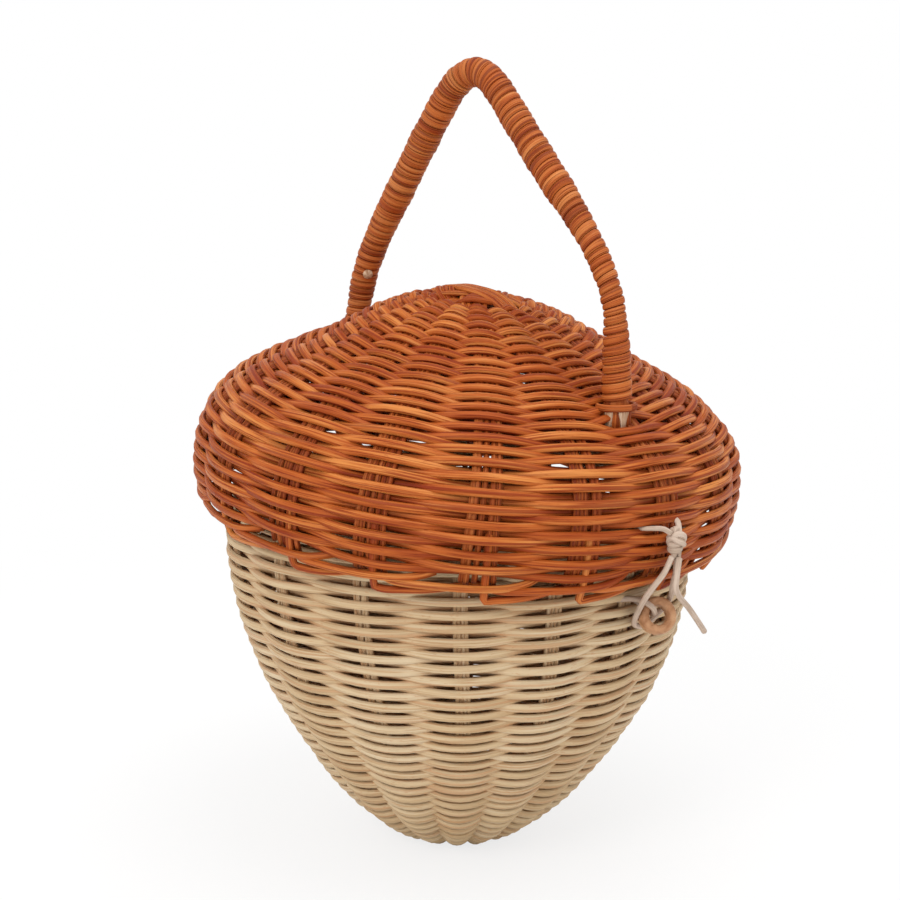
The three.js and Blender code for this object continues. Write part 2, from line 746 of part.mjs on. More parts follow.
// The lash goes in beside the front stake, round behind it, and comes out on the other side
function lashRoute(toWorld) {
  const s = lidWall.spaceNear(lidWall.opening.s);
  const front = lidWall.angle(0);
  const local = (across, off) => toWorld(lidWall.point(front, s, off)
    .add(new THREE.Vector3(across, 0, 0)));
  const behind = -(STAKE_THICK / 2 + FIT + CORD / 2 + 0.45);
  const [x, y, z] = KNOT_CENTRE;
  const reach = KNOT_RADIUS + CORD / 2 + FIT;
  return [
    new THREE.Vector3(x - reach - 0.9, y + 0.6, z + 2.6),
    local(-LASH_LEFT - 0.8, LASH_PROUD), local(-LASH_LEFT, 0.4), local(-LASH_LEFT / 2, behind),
    local(LASH_RIGHT / 2, behind), local(LASH_RIGHT, 0.4), local(LASH_RIGHT + 0.2, LASH_PROUD),
    new THREE.Vector3(x + reach + 0.9, y + 0.6, z + 2.6),
  ];
}

const vectors = (route) => route.map((p) => new THREE.Vector3(...p));

// Everything together

const basket = new THREE.Group();
basket.add(...buildBody());

const lid = new THREE.Group();
lid.position.copy(hingeLine);
lid.rotation.x = CLOSED_TILT;
const lidPieces = new THREE.Group();
lidPieces.position.set(0, -lidRod.y, -lidRod.z);
lidPieces.add(
  ...weavers(lidWall, BAND_ENDS_LID, 'lid', stainedRattan),
  ...stakes(lidWall, 'lid', stainedRattan),
  ...buildHandle(),
);
lid.add(lidPieces);
basket.add(lid);

basket.add(named('hinge_tie_left', hingeTie(-1), cane()));
basket.add(named('hinge_tie_right', hingeTie(1), cane()));

basket.updateMatrixWorld(true);
const toWorld = (p) => lidPieces.localToWorld(p.clone());
basket.add(named('clasp_lash', cordSolid(lashRoute(toWorld), CORD, 24, FINE_CORD), cotton()));
basket.add(named('clasp_knot', knot(), cotton()));
basket.add(named('clasp_loop', cordSolid(vectors(LOOP_ROUTE), CORD, 26, ROUND_ROD), cotton()));
basket.add(named('clasp_tail', cordSolid(vectors(TAIL_ROUTE), CORD, 10, ROUND_ROD), cotton()));
basket.add(named('bead', bead(), turnedWood()));
basket.add(named('bead_tie', beadTie(), cotton()));

export default basket;
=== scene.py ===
"""Looks for the mushroom-shaped woven basket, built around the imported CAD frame.

The basket stands on z = 0 with its front toward -Y. Shapes are worked out in millimetres and
turned into metres when a mesh is made.
"""

import bisect
import random
from math import copysign, cos, exp, floor, pi, radians, sin, tau

import bpy
from mathutils import Matrix, Vector


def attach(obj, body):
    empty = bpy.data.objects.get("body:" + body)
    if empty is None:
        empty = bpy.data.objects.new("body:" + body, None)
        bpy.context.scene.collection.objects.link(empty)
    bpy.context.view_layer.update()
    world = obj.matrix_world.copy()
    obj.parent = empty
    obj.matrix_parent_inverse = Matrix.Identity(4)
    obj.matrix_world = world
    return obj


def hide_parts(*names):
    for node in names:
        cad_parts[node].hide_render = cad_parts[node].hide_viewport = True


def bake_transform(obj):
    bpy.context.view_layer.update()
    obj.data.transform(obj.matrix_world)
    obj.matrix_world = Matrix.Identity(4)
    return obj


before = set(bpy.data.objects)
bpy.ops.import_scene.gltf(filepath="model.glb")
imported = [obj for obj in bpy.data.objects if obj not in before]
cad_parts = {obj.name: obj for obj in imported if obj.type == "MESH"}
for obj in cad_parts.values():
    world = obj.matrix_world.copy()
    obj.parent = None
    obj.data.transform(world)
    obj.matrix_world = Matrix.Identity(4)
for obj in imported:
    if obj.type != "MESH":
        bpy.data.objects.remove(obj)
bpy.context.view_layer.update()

MM = 0.001
chance = random.Random(7)


def polar(turn, reach, height=0.0):
    return Vector((cos(turn) * reach, sin(turn) * reach, height))


def add_object(name, data):
    made = bpy.data.objects.new(name, data)
    bpy.context.scene.collection.objects.link(made)
    return made


# Camera, at the photograph's angle

VIEW_AZIMUTH = radians(-42)
VIEW_ELEVATION = radians(10.656)
VIEW_DISTANCE = 0.640
VIEW_TARGET = Vector((0, 0, 0.1545))
FOCAL_MM = 66.06
SENSOR_MM = 36
PICTURE_SIDE = 900
SHIFT_X = -9.67 / PICTURE_SIDE


def add_camera():
    data = bpy.data.cameras.new("camera")
    data.lens = FOCAL_MM
    data.sensor_width = SENSOR_MM
    data.shift_x = SHIFT_X
    data.clip_start = 0.01
    camera = add_object("camera", data)
    away = polar(VIEW_AZIMUTH - pi / 2, cos(VIEW_ELEVATION), sin(VIEW_ELEVATION))
    camera.location = VIEW_TARGET + away * VIEW_DISTANCE
    camera.rotation_euler = (-away).to_track_quat("-Z", "Y").to_euler()
    bpy.context.scene.camera = camera


add_camera()


# Lines through points

SAME_PLACE = 1e-6


def spline(points, share):
    """A point at share 0 to 1 on a smooth line through Vectors, held tight where they crowd."""
    spans = len(points) - 1
    place = min(max(share, 0.0), 1.0) * spans
    i = min(int(place), spans - 1)
    b, c = points[i], points[i + 1]
    a = points[i - 1] if i else b * 2 - c
    d = points[i + 2] if i + 2 <= spans else c * 2 - b
    ends = [0.0]
    for start, stop in ((a, b), (b, c), (c, d)):
        ends.append(ends[-1] + max((stop - start).length, SAME_PLACE) ** 0.5)
    t0, t1, t2, t3 = ends
    t = t1 + (place - i) * (t2 - t1)

    def between(low_point, high_point, low, high):
        k = (t - low) / (high - low)
        return low_point * (1 - k) + high_point * k

    ab, bc, cd = between(a, b, t0, t1), between(b, c, t1, t2), between(c, d, t2, t3)
    return between(between(ab, bc, t0, t2), between(bc, cd, t1, t3), t1, t2)


class Line:
    """A smooth line through points, read by distance along it."""

    def __init__(self, points, steps=600):
        points = [Vector(p) for p in points]
        self.points = [spline(points, i / steps) for i in range(steps + 1)]
        self.s = [0.0]
        for a, b in zip(self.points, self.points[1:]):
            self.s.append(self.s[-1] + (b - a).length)
        self.length = self.s[-1]

    def find(self, s):
        s = min(max(s, 0.0), self.length)
        i = min(bisect.bisect_right(self.s, s) - 1, len(self.s) - 2)
        return i, (s - self.s[i]) / (self.s[i + 1] - self.s[i])

    def at(self, s):
        i, share = self.find(s)
        point = self.points[i].lerp(self.points[i + 1], share)
        beyond = s - min(max(s, 0.0), self.length)
        return point + self.along(s) * beyond if beyond else point

    def along(self, s):
        i, _ = self.find(s)
        low, high = max(i - 2, 0), min(i + 3, len(self.points) - 1)
        return (self.points[high] - self.points[low]).normalized()

    def even(self, step):
        count = max(2, round(self.length / step))
        return [self.at(self.length * i / count) for i in range(count + 1)]


def direction(points, i, closed=False):
    count = len(points)
    before = points[(i - 1) % count] if closed else points[max(i - 1, 0)]
    after = points[(i + 1) % count] if closed else points[min(i + 1, count - 1)]
    return (after - before).normalized()


FIRST_UP = (0, -1, 0.2)


def steady_ups(points):
    """An upright for each point, carried along without twisting."""
    up = Vector(FIRST_UP)
    ups = []
    for i in range(len(points)):
        along = direction(points, i)
        up = (up - along * up.dot(along)).normalized()
        ups.append(up.copy())
    return ups


def eased(before, after, share):
    share = share * share * (3 - 2 * share)
    return before * (1 - share) + after * share


WANDER_VALUES = 1024


def wander(seed):
    """A slow drift between -1 and 1 along a strand."""
    generator = random.Random(seed)
    values = [generator.uniform(-1, 1) for _ in range(WANDER_VALUES)]

    def at(x):
        i = floor(x)
        return eased(values[i % WANDER_VALUES], values[(i + 1) % WANDER_VALUES], x - i)

    return at


def read_table(rows, at):
    """A value between the rows of a table of places and values."""
    for (low, before), (high, after) in zip(rows, rows[1:]):
        if at <= high:
            share = max(0.0, (at - low) / (high - low))
            return before * (1 - share) + after * share
    return rows[-1][1]


def bump_at(distance, width):
    return exp(-((distance / width) ** 2))


def squarer(value, power):
    """Bends a sine or cosine, so that a round section comes nearer to a square one."""
    return copysign(abs(value) ** power, value)


# Mesh pieces from tubes

def smooth_piece(name, points, faces, material):
    mesh = bpy.data.meshes.new(name)
    mesh.from_pydata([(p * MM)[:] for p in points], [], faces)
    mesh.materials.append(material)
    mesh.polygons.foreach_set("use_smooth", [True] * len(mesh.polygons))
    return add_object(name, mesh)


def each(value, i):
    return value[i] if isinstance(value, list) else value


# A piece given no depth counts as lying this far out, in mm, so only its parts more than 1.6 mm
# below its middle get painted shade
OUTSIDE = 3.0
TIP_REACH = 0.35


class Tubes:
    """Collects tubes into one mesh. Its strand map runs along and round each tube, in metres and in
    turns. The tone differs from tube to tube. The depth is how far outward, in mm, a point lies
    from the middle of the wall; the rattan materials paint shade where it is low."""

    def __init__(self):
        self.points, self.faces, self.uvs, self.tones, self.depths = [], [], [], [], []

    def add(self, centres, ups, half_side, half_up, sides=8, closed=False, tone=None, power=1.0,
            depth=OUTSIDE):
        """Half sizes, tone and depth are one number, or a list with one for each centre."""
        count = len(centres)
        base = len(self.points)
        tone = chance.random() if tone is None else tone
        length = chance.random() * 3
        lengths = []
        for i, centre in enumerate(centres):
            along = direction(centres, i, closed)
            up = (ups[i] - along * ups[i].dot(along)).normalized()
            side = along.cross(up)
            if i:
                length += (centre - centres[i - 1]).length * MM
            lengths.append(length)
            wide, tall = each(half_side, i), each(half_up, i)
            for j in range(sides):
                turn = -pi / 2 + tau * j / sides
                c, s = squarer(cos(turn), power), squarer(sin(turn), power)
                self.points.append(centre + side * (c * wide) + up * (s * tall))
                self.tones.append(each(tone, i))
                self.depths.append(each(depth, i) + s * tall)
        if closed:
            lengths.append(length + (centres[0] - centres[-1]).length * MM)
        for i, (u0, u1) in enumerate(zip(lengths, lengths[1:])):
            here = base + i * sides
            there = base + (i + 1) % count * sides
            for j in range(sides):
                k = (j + 1) % sides
                self.faces.append((here + j, here + k, there + k, there + j))
                v0, v1 = j / sides, (j + 1) / sides
                self.uvs.append(((u0, v0), (u0, v1), (u1, v1), (u1, v0)))
        if closed:
            return
        for ring, inner, outward in ((0, 1, True), (count - 1, count - 2, False)):
            start = base + ring * sides
            ahead = (centres[ring] - centres[inner]).normalized()
            self.points.append(centres[ring] + ahead * (each(half_up, ring) * TIP_REACH))
            self.tones.append(each(tone, ring))
            self.depths.append(depth[ring] if isinstance(depth, list) else OUTSIDE)
            last = len(self.points) - 1
            for j in range(sides):
                k = (j + 1) % sides
                face = (start + k, start + j, last) if outward else (start + j, start + k, last)
                self.faces.append(face)
                u = lengths[ring]
                self.uvs.append(((u, j / sides), (u, (j + 1) / sides), (u + MM, j / sides)))

    def build(self, name, material):
        piece = smooth_piece(name, self.points, self.faces, material)
        mesh = piece.data
        layer = mesh.uv_layers.new(name="strand")
        layer.data.foreach_set("uv", [value for face in self.uvs for uv in face for value in uv])
        for title, values in (("tone", self.tones), ("depth", self.depths)):
            attribute = mesh.attributes.new(title, "FLOAT", "POINT")
            attribute.data.foreach_set("value", values)
        mesh.update()
        return piece


def one_tube(name, material, *shape, **more):
    tubes = Tubes()
    tubes.add(*shape, **more)
    return tubes.build(name, material)


def put(piece, body, slot, *nodes):
    """Rides a piece on a body. A piece without one stays unattached."""
    if body:
        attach(piece, body)
    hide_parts(*nodes)
    return piece


# Materials, with their colours as screen values from 0 to 255

SPECULAR = 0.18


def linear(colour):
    """From screen values to the linear values that Blender mixes."""
    shares = [value / 255 for value in colour]
    return [v / 12.92 if v <= 0.04045 else ((v + 0.055) / 1.055) ** 2.4 for v in shares]


def fill(node, values):
    for key, value in values.items():
        node.inputs[key].default_value = value


class Recipe:
    """A principled material and short ways to add its nodes."""

    def __init__(self, name, roughness):
        self.material = bpy.data.materials.new(name)
        self.material.use_nodes = True
        self.tree = self.material.node_tree
        self.shader = self.tree.nodes["Principled BSDF"]
        fill(self.shader, {"Roughness": roughness, "Specular IOR Level": SPECULAR})

    def node(self, kind, **settings):
        made = self.tree.nodes.new("ShaderNode" + kind)
        for key, value in settings.items():
            setattr(made, key, value)
        return made

    def link(self, source, target):
        self.tree.links.new(source, target)

    def scaled(self, place, scales, offset=0.0):
        """Coordinates with a scale for each. The offset makes one noise unlike the others."""
        made = self.node("Mapping")
        fill(made, {"Scale": (*scales, 1)[:3],
                    "Location": (offset, offset * 0.7, offset * 0.3)})
        self.link(place, made.inputs["Vector"])
        return made.outputs["Vector"]

    def noise(self, place, scales, offset, detail):
        made = self.node("TexNoise")
        fill(made, {"Scale": 1, "Detail": detail, "Roughness": 0.55})
        self.link(self.scaled(place, scales, offset), made.inputs["Vector"])
        return made.outputs["Fac"]

    def feed(self, socket, value):
        """Gives a socket a number, a colour or a link."""
        if isinstance(value, (int, float)):
            socket.default_value = value
        elif isinstance(value, tuple):
            socket.default_value = (*linear(value), 1)
        else:
            self.link(value, socket)

    def maths(self, operation, *values):
        made = self.node("Math", operation=operation)
        for socket, value in zip(made.inputs, values):
            self.feed(socket, value)
        return made.outputs[0]

    def spread(self, value, low, high, to_low=0.0, to_high=1.0):
        made = self.node("MapRange")
        fill(made, {"From Min": low, "From Max": high, "To Min": to_low, "To Max": to_high})
        self.link(value, made.inputs["Value"])
        return made.outputs["Result"]

    def ramp(self, value, stops):
        made = self.node("ValToRGB")
        elements = made.color_ramp.elements
        while len(elements) < len(stops):
            elements.new(0.5)
        for element, (place, colour) in zip(elements, stops):
            element.position = place
            element.color = (*linear(colour), 1)
        self.link(value, made.inputs["Fac"])
        return made.outputs["Color"]

    def blend(self, share, base, over):
        made = self.node("MixRGB")
        for key, value in (("Fac", share), ("Color1", base), ("Color2", over)):
            self.feed(made.inputs[key], value)
        return made.outputs["Color"]

    def bump(self, height, strength, distance):
        made = self.node("Bump")
        fill(made, {"Strength": strength, "Distance": distance})
        self.link(height, made.inputs["Height"])
        self.link(made.outputs["Normal"], self.shader.inputs["Normal"])


# The depths, in mm, between which a rod goes from no painted shade to its full share of painted
# shade in the wall's crevices
OUTER_FACE = 1.4
INNER_FACE = -3.2


def rattan(name, dark, mid, light, grain_and_painted_shade, roughness=0.5, bump=0.6, grooves=5.0, spots=0.25,
           deep=0.75, streaks=0.66):
    """Stained or bare rattan: fibre grooves along each strand, and an uneven tone. The fifth colour
    takes over as grain in the grooves by the share streaks and in flecks by spots, and as painted
    shade deep in a wall by deep."""
    made = Recipe(name, roughness)
    strand = made.node("UVMap", uv_map="strand").outputs["UV"]
    tone = made.node("Attribute", attribute_name="tone").outputs["Fac"]
    depth = made.node("Attribute", attribute_name="depth").outputs["Fac"]
    # Each noise has its scale along the strand, per metre, and round it, per turn
    broad = made.noise(strand, (14, grooves), 0.0, 3.0)
    fine = made.noise(strand, (45, grooves * 3.4), 3.1, 2.0)
    lines = made.noise(strand, (9, grooves * 1.7), 12.4, 1.0)
    patches = made.noise(strand, (38, 1.2), 7.7, 2.0)
    flecks = made.noise(strand, (420, 14), 5.3, 1.0)
    value = made.maths("MULTIPLY_ADD", broad, 0.42, made.maths("MULTIPLY", fine, 0.46))
    value = made.maths("MULTIPLY_ADD", patches, 0.24, value)
    value = made.maths("MULTIPLY_ADD", tone, 0.14, made.maths("SUBTRACT", value, 0.13))
    colour = made.ramp(value, [(0.36, dark), (0.5, mid), (0.64, light)])
    groove = made.maths("MAXIMUM", made.spread(fine, 0.44, 0.31), made.spread(lines, 0.44, 0.35))
    fleck = made.spread(flecks, 0.66, 0.74)
    # Painted shade: the deeper a point lies in the wall, the more it turns to the fifth colour
    inside = made.spread(depth, OUTER_FACE, INNER_FACE)
    for place, share in ((groove, streaks), (fleck, spots), (inside, deep)):
        colour = made.blend(made.maths("MULTIPLY", place, share), colour, grain_and_painted_shade)
    made.link(colour, made.shader.inputs["Base Color"])
    gloss = made.spread(broad, 0.3, 0.7, roughness + 0.14, roughness - 0.1)
    made.link(gloss, made.shader.inputs["Roughness"])
    height = made.maths("MULTIPLY_ADD", fine, 0.6, broad)
    height = made.maths("SUBTRACT", height, made.maths("MULTIPLY", groove, 0.5))
    made.bump(height, bump, 0.0005)
    return made.material


# Each material's fifth colour is its grain and fleck colour, and also its painted shade deep in the
# wall
STAINED = rattan("stained_rattan", (150, 62, 16), (179, 90, 32), (207, 130, 64), (122, 32, 5))
STAINED_STAKE = rattan("stained_rattan_stakes", (144, 58, 17), (170, 82, 30), (194, 112, 54),
                       (104, 30, 6))
NATURAL = rattan("natural_rattan", (191, 162, 123), (204, 178, 140), (211, 190, 157),
                 (178, 106, 58), roughness=0.55, bump=0.5, spots=0.3, deep=0.55, streaks=0.34)
CANE = rattan("wound_cane", (146, 58, 15), (181, 94, 38), (204, 127, 67), (100, 26, 5),
              grooves=6.0, spots=0.15, deep=0.6)
PALE_WOOD = rattan("pale_wood", (186, 150, 118), (206, 176, 146), (222, 198, 172),
                   (150, 98, 60), deep=0.0)


def turned_wood():
    """The bead: smooth brown wood with growth rings through it and fine pores."""
    made = Recipe("bead_wood", 0.42)
    place = made.node("TexCoord").outputs["Object"]
    rings = made.noise(place, (90, 500, 260), 1.7, 3.0)
    pores = made.noise(place, (900, 300, 2400), 0.4, 2.0)
    colour = made.ramp(rings, [(0.3, (158, 110, 76)), (0.52, (184, 137, 100)),
                               (0.7, (196, 154, 118))])
    pore = made.spread(pores, 0.6, 0.72)
    colour = made.blend(made.maths("MULTIPLY", pore, 0.4), colour, (118, 76, 46))
    made.link(colour, made.shader.inputs["Base Color"])
    made.bump(rings, 0.15, 0.0004)
    return made.material


def cotton():
    """Off-white waxed cotton cord: fine fibres along it, faint slanting plies, uneven tone."""
    made = Recipe("cotton_cord", 0.8)
    strand = made.node("UVMap", uv_map="strand").outputs["UV"]
    fibres = made.noise(strand, (120, 16), 2.2, 3.0)
    patches = made.noise(strand, (70, 1.5), 9.1, 2.0)
    plies = made.node("TexWave", bands_direction="DIAGONAL")
    fill(plies, {"Scale": 1.0, "Distortion": 1.0})
    made.link(made.scaled(strand, (260, 2.0)), plies.inputs["Vector"])
    value = made.maths("MULTIPLY_ADD", fibres, 0.55, made.maths("MULTIPLY", patches, 0.45))
    colour = made.ramp(value, [(0.34, (170, 148, 128)), (0.5, (192, 170, 152)),
                               (0.66, (212, 193, 176))])
    made.link(colour, made.shader.inputs["Base Color"])
    height = made.maths("MULTIPLY_ADD", plies.outputs["Fac"], 0.35, fibres)
    made.bump(height, 0.45, 0.0004)
    return made.material


COTTON = cotton()
BEAD_WOOD = turned_wood()

# Where the lid sits: it leans toward the front about the hinge, as in the CAD

CLOSED_TILT = radians(5)
HINGE = Vector((0, 96.981, 139.260))
LID_ROD = Vector((0, 96.981, 0.341))
LID_PLACE = (
    Matrix.Translation(HINGE) @ Matrix.Rotation(CLOSED_TILT, 4, "X") @ Matrix.Translation(-LID_ROD)
)
BODY_PLACE = Matrix.Identity(4)

# The clasp's two free cords, and what every cord shares

CORD = 2.1
CORD_STEP = 1.2
BEAD_CENTRE = Vector((4.6, -98.4, 108.5))

LOOP_ROUTE = [
    (-2.4, -110.6, 133.4), (-4.2, -108.8, 127.6), (-6.2, -106.0, 122.6), (-6.4, -102.8, 118.2),
    (-4.6, -98.7, 113.5), (-2.4, -94.7, 108.6), (0.7, -91.6, 104.5), (4.8, -91.4, 103.3),
    (9.2, -92.8, 105.7), (12.2, -95.6, 110.3), (9.4, -100.6, 115.7), (4.2, -105.6, 121.2),
    (1.6, -109.0, 126.6), (-0.2, -110.8, 132.6),
]
TAIL_ROUTE = [
    (-0.6, -112.3, 132.9), (-1.8, -112.5, 127.0), (-1.7, -112.0, 122.8), (2.2, -110.4, 118.4),
    (9.6, -108.0, 112.9), (17.4, -105.0, 106.9), (24.6, -102.2, 101.1), (27.4, -101.1, 98.8),
]


def cord_piece(name, route, body, replaced):
    points = Line(route).even(CORD_STEP)
    tube = one_tube(name, COTTON, points, steady_ups(points), CORD / 2, CORD / 2, sides=12)
    piece = put(tube, body, "cord", replaced)
    return piece


cord_piece("clasp_loop_cord", LOOP_ROUTE, "lid", "clasp_loop")
cord_piece("clasp_tail_cord", TAIL_ROUTE, "lid", "clasp_tail")


# The woven walls

OUTLINE_STEPS = 200
MIDDLE_DEPTH = 3.1


class Wall:
    """The middle surface of a woven wall, from its outer outline as radius and height. Distances
    s run along it from the centre to the rim, and an index counts stakes round it."""

    def __init__(self, outline, side, aside, place, pull):
        outer = Line([(r, z, 0) for r, z in outline])
        self.side, self.aside, self.place, self.pull = side, aside, place, pull
        self.stakes = len(aside)
        self.up = place.to_3x3() @ Vector((0, 0, 1))
        middle = []
        for i in range(OUTLINE_STEPS + 1):
            s = outer.length * i / OUTLINE_STEPS
            along = outer.along(s)
            normal = Vector((side * along.y, -side * along.x, 0))
            middle.append(outer.at(s) - normal * MIDDLE_DEPTH)
        self.line = Line(middle, 400)
        self.end = self.line.length

    def at(self, s):
        """Radius, height, and the outward normal as radius and height."""
        point = self.line.at(s)
        along = self.line.along(s)
        return point.x, point.y, self.side * along.y, -self.side * along.x

    def angle(self, index):
        """The direction of a stake, or between two for a broken index."""
        low = floor(index)
        share = index - low
        count = self.stakes
        aside = self.aside[low % count] * (1 - share) + self.aside[(low + 1) % count] * share
        return -pi / 2 + tau * index / count + radians(aside)

    def settle(self, point):
        """Where a point of the even shape lies in the hand-woven one."""
        return self.place @ (point + self.pull(point))

    def point(self, angle, s, off=0.0):
        """A point off the middle surface, outward where off is positive."""
        r, z, nr, nz = self.at(s)
        return self.settle(polar(angle, r + nr * off, z + nz * off))

    def normal(self, angle, s):
        return self.place.to_3x3() @ polar(angle, *self.at(s)[2:])

    def from_front(self, index):
        """How many stakes an index is away from the front."""
        half = self.stakes / 2
        return (index + half) % self.stakes - half


BODY_OUTLINE = [
    (13.5, 0.0), (20.5, 0.6), (28, 4.6), (40.5, 14.8), (53.9, 30), (67, 48.5),
    (78.2, 68), (85.8, 89), (90.0, 110), (91.4, 122), (90.4, 134.4),
]
LID_OUTLINE = [
    (13.5, 85.6), (24.5, 83.8), (36.5, 79.4), (58.8, 67.2), (81.6, 55.8),
    (94.4, 46.8), (102.0, 37.2), (105.0, 24), (104.4, 10), (102.6, 4.4),
]
# The weaving pulled both parts a little out of true, to one side, and set the lid askew
PULL_SIDE = Vector((0.743, -0.669, 0))

# How far each is pulled, by height
BODY_PULLS = [(0, -1.2), (20, -0.6), (40, 0.4), (60, 0.9), (80, 0.9), (95, 0.3), (110, -0.1),
              (134, 0.0)]


def body_pull(point):
    return PULL_SIDE * read_table(BODY_PULLS, point.z)


LID_PULLS = [(-20, 1.6), (4, 1.6), (23, 2.0), (40, 3.1), (66, 3.8), (80, 2.2), (86, 0.4),
             (100, 0.0)]
LID_LEAN = 0.03
SKIRT_TOP = 25
SKIRT_DEPTH = 21
SKIRT_RADIUS = 104
SKIRT_RISE = 2.0


def lid_pull(point):
    """The lid also leans to one side, and its skirt rises a little at both sides."""
    across = point.dot(PULL_SIDE)
    skirt = min(1.0, max(0.0, (SKIRT_TOP - point.z) / SKIRT_DEPTH))
    rise = SKIRT_RISE * skirt * (across / SKIRT_RADIUS) ** 2 - LID_LEAN * across
    return PULL_SIDE * read_table(LID_PULLS, point.z) + Vector((0, 0, rise))


# How far each stake stands from its even place round the wall, in degrees
BODY_ASIDE = [0, 0.4, -0.5, 0.6, -0.4, 0.3, 0.5, -0.3, 0, 0.4, -0.6, 0.5, 2.0, 3.0, 3.2, 2.4]
LID_ASIDE = [0, -0.5, 0.6, 0.3, -0.7, 0.4, 0.6, -0.4, 0, 0, -0.5, 0.7, 0.3, -0.6, 0.2, -0.5, 0.2,
             0.4]

body_wall = Wall(BODY_OUTLINE, 1, BODY_ASIDE, BODY_PLACE, body_pull)
lid_wall = Wall(LID_OUTLINE, -1, LID_ASIDE, LID_PLACE, lid_pull)
BODY_BACK = body_wall.stakes // 2
LID_BACK = lid_wall.stakes // 2

# The rods of the rows: depth, distance from row to row, and points from stake to stake
WEAVER_DEEP = 2.3
PITCH = 2.52
SAMPLES = 7


def parted(wall, index, s, partings):
    """Moves a row away from the places where the rows give way."""
    for centre, aside, width, gives, reach in partings:
        gap = s - centre
        beside = bump_at(wall.from_front(index) + aside, width)
        s += copysign(gives * beside * max(0.0, 1 - abs(gap) / reach), gap)
    return s


def row_path(wall, strand, first, last, tall, swing, partings):
    """Centres, uprights, half widths and depths of one strand between two counts of stakes."""
    drift = wander(11 + strand + wall.stakes)
    reach = wander(31 + strand + wall.stakes)
    thick = wander(53 + strand + wall.stakes)
    centres, ups, halves, depths = [], [], [], []
    start, stop = int(first * SAMPLES), int(last * SAMPLES)
    for i in range(start, stop + 1):
        index = i / SAMPLES
        s = 2 * PITCH * index / wall.stakes + strand * PITCH
        angle = wall.angle(index)
        span = tau * wall.at(s)[0] / wall.stakes
        ease = min(1.0, span / 11)
        wave = cos(pi * (index + strand))
        wave *= 1.1 - 0.1 * wave * wave
        s += 0.22 * drift(index * 0.83) + 0.12 * drift(index * 3.1 + 200)
        s = parted(wall, index, s, partings)
        local_swing = swing(s) + 0.22 * reach(index * 0.57)
        off = local_swing * wave * (0.6 + 0.4 * ease)
        centres.append(wall.point(angle, s, off))
        ups.append(wall.normal(angle, s))
        uneven = 1 + 0.08 * thick(index * 0.23) + 0.05 * thick(index * 1.7 + 90)
        halves.append(tall(s) / 2 * uneven)
        # The row's depth sets its painted shade, darker where it swings in behind a stake
        depths.append(off)
    return centres, ups, halves, depths


# A new length starts beside the old one's end: how far the two run on past the join, in stakes,
# and how far up the new one's first points lie, and how thick
SPLICE_BEFORE = 0.06
SPLICE_AFTER = 0.62
SPLICE_START = ((0.55, 0.45), (0.4, 0.8), (0.25, 1.0))


def weave(wall, name, material, begin, end, tall, swing, partings, joins):
    """The paired rows, each strand spliced with new lengths at the joins, as one piece a strand."""
    made = []
    for strand in (0, 1):
        tubes = Tubes()
        total = (end - strand * PITCH) * wall.stakes / (2 * PITCH)
        cuts = [j for k, j in enumerate(joins) if k % 2 == strand and j < total - wall.stakes]
        places = [begin, *cuts, total]
        for n, (first, last) in enumerate(zip(places, places[1:])):
            starts = first - SPLICE_BEFORE if n else first
            stops = last if last == total else last + SPLICE_AFTER
            centres, ups, halves, depths = row_path(
                wall, strand, starts, stops, tall, swing, partings)
            deep = [WEAVER_DEEP / 2] * len(centres)
            if n:
                for i, (shift, keep) in enumerate(SPLICE_START):
                    centres[i] = centres[i] + ups[i] * shift
                    halves[i] *= keep
                    deep[i] *= keep
            if last != total:
                for i in range(1, 5):
                    centres[-i] = centres[-i] - ups[-i] * (1.5 - 0.3 * i)
                    halves[-i] *= 0.9
            tubes.add(centres, ups, halves, deep, power=0.82, depth=depths)
        made.append(tubes.build(f"{name}_{'ab'[strand]}", material))
    return made


STAKE_START = 8
STAKE_STEP = 3.2


def stake_rods(wall, lanes, ends, tubes, rod, lane_at, stake, tall=0.9):
    """The thin rods of one stake, side by side through the middle of the wall."""
    angle = wall.angle(stake)
    for k in range(lanes):
        lane = k - (lanes - 1) / 2
        jitter = chance.uniform(-0.22, 0.22)
        lean = chance.uniform(-0.3, 0.3)
        end = ends + chance.uniform(-0.8, 0.6)
        count = max(2, round((end - STAKE_START) / STAKE_STEP))
        centres, ups, depths = [], [], []
        for i in range(count + 1):
            s = STAKE_START + (end - STAKE_START) * i / count
            share = (s - STAKE_START) / (ends - STAKE_START)
            across = lane_at(lane, share) + (jitter + lean * share) * rod * 0.5
            turned = angle + across / max(wall.at(s)[0], 3.0)
            off = 0.16 * sin(k * 2.1 + i * 1.3)
            centres.append(wall.point(turned, s, off))
            ups.append(wall.normal(turned, s))
            # The depth sets the rod's painted shade, and counts the rod 0.6 mm deeper than it lies
            depths.append(off - 0.6)
        tubes.add(centres, ups, rod / 2, rod / 2 * tall, sides=6, depth=depths)


BORDER_STEP = 1.6


def border(wall, name, material, rod, steps, aside):
    """At each stake a thick rod turns a sharp corner and runs on under the stakes that follow. The
    steps give its index past the stake, its distance past the wall's end and its place off it."""
    tubes = Tubes()
    for stake in range(wall.stakes):
        side_step = aside(stake)
        route, ups = [], []
        for index, s, off in steps:
            place = stake + index
            shift = side_step * max(0.0, 1 - index)
            angle = wall.angle(place) + shift / wall.at(wall.end + s)[0]
            route.append(wall.point(angle, wall.end + s + chance.uniform(-0.2, 0.2), off))
            ups.append(wall.normal(angle, wall.end + s))
        centres = Line(route, 300).even(BORDER_STEP)
        normals = [min(zip(route, ups), key=lambda known: (known[0] - at).length)[1]
                   for at in centres]
        tubes.add(centres, normals, rod / 2, rod / 2 * 0.85, power=0.9)
    return tubes.build(name, material)


def lid_s_at(radius):
    """The distance along the lid's wall, between centre and rim, where it has a radius."""
    return min((i * 0.5 for i in range(60, 240)), key=lambda s: abs(lid_wall.at(s)[0] - radius))


